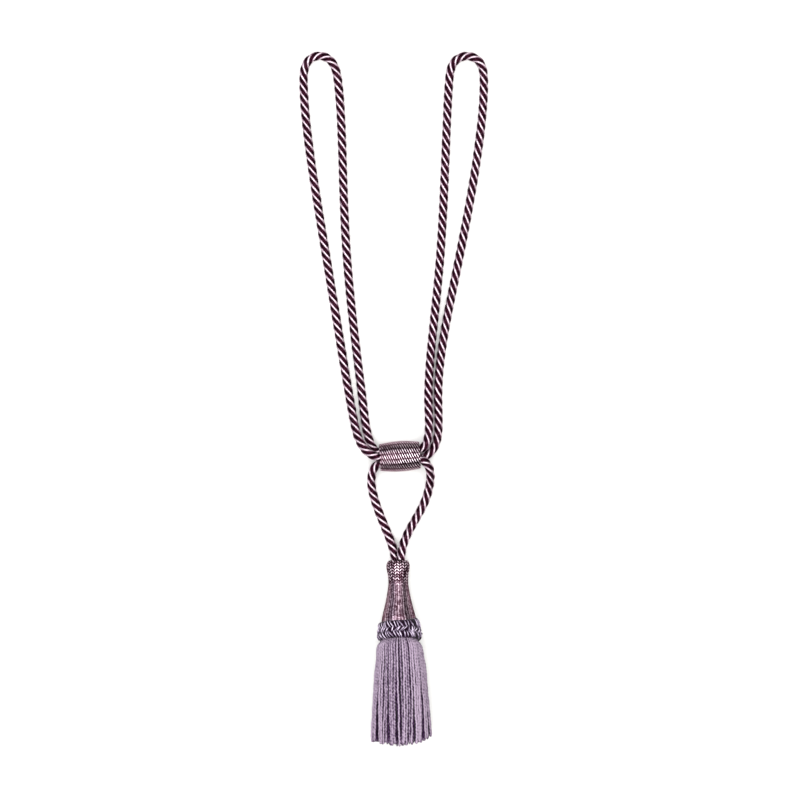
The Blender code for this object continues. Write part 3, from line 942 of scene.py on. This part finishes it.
# skirt: rolled fringe of soft two-ply yarns
skirt = {
    "seed": 23,
    "shift": 0.4,  # the fringe lies a little to the right of the tassel's axis
    "heading": [(58.3, 15.6), (66.2, 15.6)],  # (down, radius) of the band that holds the yarns
    "headingTone": 0.3,
    "headingSides": 48,
    # where a yarn hangs from the heading, (down, radius), and then how far down its next points are
    "neck": [(64.4, 14.0), (67.2, 14.5), (70.4, 17.0)],
    "downs": [79.0, 91.0, 104.0, 118.0, 133.0, 150.0],
    "looseFrom": 70.0,  # down; the yarns wander from here on
    "looseLength": 40.0,  # of a yarn, from the heading until it lies quite free
    # the lying fringe: down its length in plan, half width and top height of its outer yarns' middles
    "shape": [
        (71.0, 17.7, 36.8),
        (80.0, 19.1, 37.0),
        (91.0, 20.4, 36.8),
        (111.0, 21.7, 35.5),
        (130.0, 23.2, 33.4),
        (152.0, 24.2, 30.6),
    ],
    "widest": 0.45,  # share of the top height at which the fringe is widest
    "underside": 0.72,  # less than 1 rounds it out towards the table
    "ends": [
        # (sideways, down)
        (-25.0, 148.8),
        (-14.0, 151.5),
        (0.0, 153.2),
        (14.0, 150.6),
        (25.0, 146.2),
    ],
    "trim": (-2.0, 1.1),  # unevenness of the cut
    "lowShorter": 4.0,  # how much sooner a yarn on the table ends
    "lowHeight": 8.0,  # where that is gone
    "innerShorter": 2.0,
    # from the outside in: share of the width, yarns, sides, rings, tone; the low tones of the inner layers
    # paint the shade in the gaps between the outer yarns
    "outerLayers": [
        (1.0, 53, 8, 150, 0.9),
        (0.92, 48, 6, 60, 0.3),
    ],
    "innerLayers": [
        (0.84, 48, 6, 24, 0.15),
        (0.72, 42, 5, 14, 0.15),
        (0.58, 34, 5, 10, 0.1),
        (0.42, 24, 5, 10, 0.1),
        (0.22, 12, 5, 10, 0.1),
    ],
    "yarn": 1.12,  # radius
    "thickness": (0.78, 1.14),
    "tip": (0.7, 0.45),  # length of the rounding at the cut end, and the share of the thickness left there
    "ply": 0.14,  # how far the two plies stand apart, as a share of the radius
    "pliedRings": 100,  # a yarn with more rings than this has its plies in relief
    "twist": 5.6,
    "wander": 0.728,  # sideways, by the cut end
    "wave": 0.455,
    "lift": 0.5,
    "wriggle": 0.4,
    "wriggleWaves": (31, 13.0, 29.0),  # seed, lengths
    "clumpSizes": [1, 2, 2, 3, 3, 4],
    "clump": 0.5,  # how far neighbouring yarns draw together at their ends
    "flick": 4.655,  # and how far a clump's end swings aside
    "flickFrom": 0.45,  # share of the yarn's length
    "mottle": 1.667,  # width of a mottled patch, about a third of a turn of the plies
    # tones: painted light and shade across the plies, painted shade down a yarn's far side, at its top and at
    # its cut end
    "plyTone": 0.34,
    "paintedFarShadeTone": 1.9,
    "paintedFarShadeSharpness": 2.1,
    "topTone": 0.08,
    "cutTone": 0.6,
    "cutLength": 5.0,
    "shade": 0.2,  # from one yarn to the next
    "middle": 16.0,  # height of the fringe's middle above the table
    "outwards": 0.5,  # share of straight out in the way that a yarn's painted lit side faces
}

# on the table: where the tassel starts, the way its fringe runs, and the way across it
skirtLean = math.radians(tassel["lean"])
skirtStart = np.array([*tassel["top"], 0.0])
skirtAhead = np.array([math.sin(skirtLean), -math.cos(skirtLean), 0.0])
skirtAside = np.array([math.cos(skirtLean), math.sin(skirtLean), 0.0])


# sideways and height of a yarn's middle; place goes once round the fringe, from 0 to 1
def fringeOutline(down, share, place):
    rows = np.array(skirt["shape"])
    halfWidth = np.interp(down, rows[:, 0], rows[:, 1])
    top = np.interp(down, rows[:, 0], rows[:, 2])
    middle = skirt["widest"] * top
    angles = np.linspace(0.0, 2.0 * math.pi, 361)
    rise = np.cos(angles)
    above = middle + (top - middle) * rise
    below = middle - (middle - skirt["yarn"]) * np.abs(rise) ** skirt["underside"]
    sideways = halfWidth * np.sin(angles) * share
    height = middle + (np.where(rise > 0.0, above, below) - middle) * share
    along = np.concatenate([[0.0], np.cumsum(np.hypot(np.diff(sideways), np.diff(height)))])
    wanted = (place % 1.0) * along[-1]
    return float(np.interp(wanted, along, sideways)), float(np.interp(wanted, along, height))


# places round the fringe, each with the middle and the swing of the clump it ends in
def clumpPlaces(draw, count, start):
    places = [(k + start + draw.uniform(-0.25, 0.25)) / count for k in range(count)]
    middles = []
    while len(middles) < count:
        size = min(draw.choice(skirt["clumpSizes"]), count - len(middles))
        group = places[len(middles) : len(middles) + size]
        middles += [(sum(group) / size, draw.uniform(-1.0, 1.0))] * size
    return list(zip(places, middles))


# points that one yarn runs through, from the heading to its cut end
def yarnRoute(draw, share, place, middle, swing):
    angle = 2.0 * math.pi * place
    turn = np.array(tasselMatrix.to_3x3())
    origin = np.array(tasselMatrix.translation)
    points = []
    for down, radius in skirt["neck"]:
        local = np.array([radius * share * math.sin(angle), -radius * share * math.cos(angle), -down])
        points.append(turn @ local + origin)
    wander = draw.uniform(-1.0, 1.0)
    second = draw.uniform(-1.0, 1.0)
    trim = draw.uniform(*skirt["trim"])
    ends = np.array(skirt["ends"])
    last = skirt["downs"][-1]
    for down in skirt["downs"]:
        far = (down - skirt["looseFrom"]) / (last - skirt["looseFrom"])
        drawn = place + (middle - place) * skirt["clump"] * far**1.2
        sideways, height = fringeOutline(down, share, drawn)
        sway = skirt["wander"] * wander * far
        sway += skirt["wave"] * second * math.sin(4.4 * far + 5.0 * wander)
        sway += skirt["flick"] * swing * max(far - skirt["flickFrom"], 0.0) ** 1.5
        # the outermost yarns keep to the outline
        sideways += skirt["shift"] + sway * min(max(1.5 - abs(sideways) / 20.0, 0.2), 1.0)
        height = max(height + skirt["lift"] * second * far, skirt["yarn"])
        if down == last:
            down = float(np.interp(sideways, ends[:, 0], ends[:, 1])) + trim
            down -= skirt["lowShorter"] * (1.0 - min(height / skirt["lowHeight"], 1.0))
            down -= skirt["innerShorter"] * (1.0 - share)
        points.append(skirtStart + skirtAhead * down + skirtAside * sideways + np.array([0.0, 0.0, height]))
    return points


def fringeLayer(skin, draw, number, layer):
    share, count, sides, ringCount, tone = layer
    turns = 2.0 * math.pi * np.arange(sides) / sides
    for place, (middle, swing) in clumpPlaces(draw, count, 0.5 * (number % 2)):
        line = evenly(smoothCurve(yarnRoute(draw, share, place, middle, swing), 12), ringCount)
        along = lengthsAlong(line)
        loose = np.clip(along / skirt["looseLength"], 0.0, 1.0)[:, None]
        # each yarn takes its own stretch of the waves
        wriggle = skirt["wriggle"] * drift(along + 300.0 * place, *skirt["wriggleWaves"])[:, None]
        line = line + skirtAside * loose * wriggle
        tipLength, tipShare = skirt["tip"]
        tip = np.clip((along[-1] - along) / tipLength, tipShare, 1.0)[:, None]
        size = skirt["yarn"] * draw.uniform(*skirt["thickness"]) * tip * np.ones((1, sides))
        shade = tone + draw.uniform(-skirt["shade"], skirt["shade"])
        spin = 2.0 * math.pi * (along / skirt["twist"])[:, None] + draw.uniform(0.0, 6.0)
        plies = np.cos(2.0 * (turns[None, :] - spin))
        if ringCount > skirt["pliedRings"]:
            size = size * (1.0 + skirt["ply"] * (plies - 0.6))
        # a yarn is painted paler, as if lit, on the side that faces up and partly away from the middle of the
        # fringe; the trace of +Y gives a side to yarns that stand upright
        outwards = np.outer((line - skirtStart) @ skirtAside, skirtAside)
        outwards[:, 2] = line[:, 2] - skirt["middle"]
        outwards /= np.linalg.norm(outwards, axis=1)[:, None]
        out = skirt["outwards"] * outwards + np.array([0.0, 0.02, 1.0])
        tube, facing = sweep(line, out, size, turns)
        tube[..., 2] = np.maximum(tube[..., 2], lowest)
        # painted light and shade along the plies
        tones = shade + 0.5 * skirt["plyTone"] * plies
        # painted shade down the far side of each yarn, where it meets its neighbours
        paintedFarShade = np.clip(2.0 - 2.0 * facing, 0.0, 1.0) ** skirt["paintedFarShadeSharpness"]
        tones = tones - skirt["paintedFarShadeTone"] * paintedFarShade
        tones = tones + skirt["topTone"] * (1.0 - loose)
        # paler at the cut ends, where the painted shade gives way
        cut = np.clip(1.0 + (along - along[-1]) / skirt["cutLength"], 0.0, 1.0)[:, None]
        tones = tones + cut * np.maximum(skirt["cutTone"] - tones, 0.0)
        addTube(skin, tube, tones, np.arange(sides + 1) / sides, along)


def makeSkirt():
    draw = random.Random(skirt["seed"])
    # soft spun yarn, two-ply: matt and slightly fuzzy, mottled, with painted light and shade along its plies
    yarn = yarnMaterial(
        "softSpunYarn",
        [(0.0, "#0a0010"), (0.25, "#240a2c"), (0.5, "#47354b"), (0.75, "#665668"), (1.0, "#827283")],
        {"Roughness": 0.7, "IOR": 1.5, "Sheen Weight": 0.1, "Sheen Roughness": 0.5},
        lustre=((0.3, 0.0), (0.7, 0.4)),
        patchiness=0.3,
        mottle=skirt["mottle"],
    )
    outer = newSkin()
    for number, layer in enumerate(skirt["outerLayers"]):
        fringeLayer(outer, draw, number, layer)
    makePiece("fringeYarns", outer, yarn, "skirt")
    core = newSkin()
    sides = skirt["headingSides"]
    heading = placed(plainRings(skirt["heading"], sides), tasselMatrix)
    downs = [down for down, radius in skirt["heading"]]
    addTube(core, heading, skirt["headingTone"], np.arange(sides + 1) / sides, downs)
    for number, layer in enumerate(skirt["innerLayers"]):
        fringeLayer(core, draw, number, layer)
    makePiece("fringeCore", core, yarn, "skirt")


makeSkirt()
